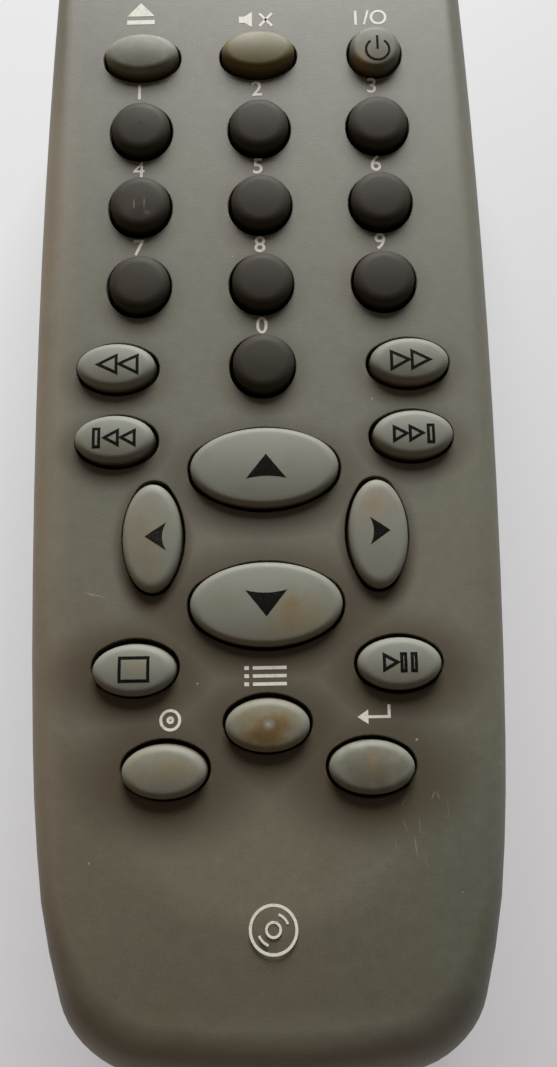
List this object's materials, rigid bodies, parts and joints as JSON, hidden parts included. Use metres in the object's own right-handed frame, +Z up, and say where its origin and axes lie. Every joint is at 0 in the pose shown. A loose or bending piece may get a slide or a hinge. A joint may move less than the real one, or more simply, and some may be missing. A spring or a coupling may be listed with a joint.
{
  "type": "remote control",
  "caption": "Hand-held infrared remote control for a disc player: a moulded case with rubber keys, a circuit board inside and a sliding battery door on its back.",
  "frame": {"origin": "centre of the bounding box in X and Y, on the plane of the flat back, where Z is 0", "axes": "+Z up through the keys, +Y towards the infrared end, +X to the right for a reader who holds the infrared end away"},
  "size_m": [0.0528, 0.141, 0.0217],
  "materials": {
    "case": "fine grained, slightly worn",
    "key_rubber": "matte warm grey",
    "key_dark_rubber": "matte dark grey",
    "window": "smoked, nearly black",
    "board": "green laminate",
    "carbon": "matte black",
    "led": "clear bluish",
    "chip": "black",
    "resonator": "glazed amber",
    "can": "dark blue sleeve",
    "contact_metal": "nickel plated",
    "cell": "plain sleeve"
  },
  "bodies": {
    "case": {"front_shell": "case", "rear_shell": "case", "ir_window": "window", "cell_left": "cell", "cell_right": "cell", "keypad_mat": "key_rubber", "circuit_board": "board", "contact_pads": "carbon", "ir_led": "led", "controller_chip": "chip", "resonator": "resonator", "capacitor": "can", "transistor": "chip", "resistors": "chip", "battery_springs": "contact_metal", "spring_plate": "contact_metal", "tab_plate": "contact_metal", "link_plate": "contact_metal", "case_screw": "contact_metal"},
    "door": {"battery_door": "case"},
    "key_open": {"key_open": "key_rubber"},
    "key_mute": {"key_mute": "key_rubber"},
    "key_power": {"key_power": "key_rubber"},
    "key_one": {"key_one": "key_dark_rubber"},
    "key_two": {"key_two": "key_dark_rubber"},
    "key_three": {"key_three": "key_dark_rubber"},
    "key_four": {"key_four": "key_dark_rubber"},
    "key_five": {"key_five": "key_dark_rubber"},
    "key_six": {"key_six": "key_dark_rubber"},
    "key_seven": {"key_seven": "key_dark_rubber"},
    "key_eight": {"key_eight": "key_dark_rubber"},
    "key_nine": {"key_nine": "key_dark_rubber"},
    "key_zero": {"key_zero": "key_dark_rubber"},
    "key_rewind": {"key_rewind": "key_rubber"},
    "key_forward": {"key_forward": "key_rubber"},
    "key_previous": {"key_previous": "key_rubber"},
    "key_next": {"key_next": "key_rubber"},
    "key_up": {"key_up": "key_rubber"},
    "key_left": {"key_left": "key_rubber"},
    "key_right": {"key_right": "key_rubber"},
    "key_down": {"key_down": "key_rubber"},
    "key_stop": {"key_stop": "key_rubber"},
    "key_play": {"key_play": "key_rubber"},
    "key_menu": {"key_menu": "key_rubber"},
    "key_title": {"key_title": "key_rubber"},
    "key_enter": {"key_enter": "key_rubber"}
  },
  "joints": [
    {"name": "door_slide", "type": "slide", "parent": "case", "child": "door", "axis": [0, -1, 0], "range_m": [0, 0.045]},
    {"name": "key_open_press", "type": "slide", "parent": "case", "child": "key_open", "axis": [0, 0, -1], "range_m": [0, 0.001], "stiffness_N_per_m": 1000},
    {"name": "key_mute_press", "type": "slide", "parent": "case", "child": "key_mute", "axis": [0, 0, -1], "range_m": [0, 0.001], "stiffness_N_per_m": 1000},
    {"name": "key_power_press", "type": "slide", "parent": "case", "child": "key_power", "axis": [0, 0, -1], "range_m": [0, 0.001], "stiffness_N_per_m": 1000},
    {"name": "key_one_press", "type": "slide", "parent": "case", "child": "key_one", "axis": [0, 0, -1], "range_m": [0, 0.001], "stiffness_N_per_m": 1000},
    {"name": "key_two_press", "type": "slide", "parent": "case", "child": "key_two", "axis": [0, 0, -1], "range_m": [0, 0.001], "stiffness_N_per_m": 1000},
    {"name": "key_three_press", "type": "slide", "parent": "case", "child": "key_three", "axis": [0, 0, -1], "range_m": [0, 0.001], "stiffness_N_per_m": 1000},
    {"name": "key_four_press", "type": "slide", "parent": "case", "child": "key_four", "axis": [0, 0, -1], "range_m": [0, 0.001], "stiffness_N_per_m": 1000},
    {"name": "key_five_press", "type": "slide", "parent": "case", "child": "key_five", "axis": [0, 0, -1], "range_m": [0, 0.001], "stiffness_N_per_m": 1000},
    {"name": "key_six_press", "type": "slide", "parent": "case", "child": "key_six", "axis": [0, 0, -1], "range_m": [0, 0.001], "stiffness_N_per_m": 1000},
    {"name": "key_seven_press", "type": "slide", "parent": "case", "child": "key_seven", "axis": [0, 0, -1], "range_m": [0, 0.001], "stiffness_N_per_m": 1000},
    {"name": "key_eight_press", "type": "slide", "parent": "case", "child": "key_eight", "axis": [0, 0, -1], "range_m": [0, 0.001], "stiffness_N_per_m": 1000},
    {"name": "key_nine_press", "type": "slide", "parent": "case", "child": "key_nine", "axis": [0, 0, -1], "range_m": [0, 0.001], "stiffness_N_per_m": 1000},
    {"name": "key_zero_press", "type": "slide", "parent": "case", "child": "key_zero", "axis": [0, 0, -1], "range_m": [0, 0.001], "stiffness_N_per_m": 1000},
    {"name": "key_rewind_press", "type": "slide", "parent": "case", "child": "key_rewind", "axis": [0, 0, -1], "range_m": [0, 0.001], "stiffness_N_per_m": 1000},
    {"name": "key_forward_press", "type": "slide", "parent": "case", "child": "key_forward", "axis": [0, 0, -1], "range_m": [0, 0.001], "stiffness_N_per_m": 1000},
    {"name": "key_previous_press", "type": "slide", "parent": "case", "child": "key_previous", "axis": [0, 0, -1], "range_m": [0, 0.001], "stiffness_N_per_m": 1000},
    {"name": "key_next_press", "type": "slide", "parent": "case", "child": "key_next", "axis": [0, 0, -1], "range_m": [0, 0.001], "stiffness_N_per_m": 1000},
    {"name": "key_up_press", "type": "slide", "parent": "case", "child": "key_up", "axis": [0, 0, -1], "range_m": [0, 0.001], "stiffness_N_per_m": 1000},
    {"name": "key_left_press", "type": "slide", "parent": "case", "child": "key_left", "axis": [0, 0, -1], "range_m": [0, 0.001], "stiffness_N_per_m": 1000},
    {"name": "key_right_press", "type": "slide", "parent": "case", "child": "key_right", "axis": [0, 0, -1], "range_m": [0, 0.001], "stiffness_N_per_m": 1000},
    {"name": "key_down_press", "type": "slide", "parent": "case", "child": "key_down", "axis": [0, 0, -1], "range_m": [0, 0.001], "stiffness_N_per_m": 1000},
    {"name": "key_stop_press", "type": "slide", "parent": "case", "child": "key_stop", "axis": [0, 0, -1], "range_m": [0, 0.001], "stiffness_N_per_m": 1000},
    {"name": "key_play_press", "type": "slide", "parent": "case", "child": "key_play", "axis": [0, 0, -1], "range_m": [0, 0.001], "stiffness_N_per_m": 1000},
    {"name": "key_menu_press", "type": "slide", "parent": "case", "child": "key_menu", "axis": [0, 0, -1], "range_m": [0, 0.001], "stiffness_N_per_m": 1000},
    {"name": "key_title_press", "type": "slide", "parent": "case", "child": "key_title", "axis": [0, 0, -1], "range_m": [0, 0.001], "stiffness_N_per_m": 1000},
    {"name": "key_enter_press", "type": "slide", "parent": "case", "child": "key_enter", "axis": [0, 0, -1], "range_m": [0, 0.001], "stiffness_N_per_m": 1000}
  ]
}
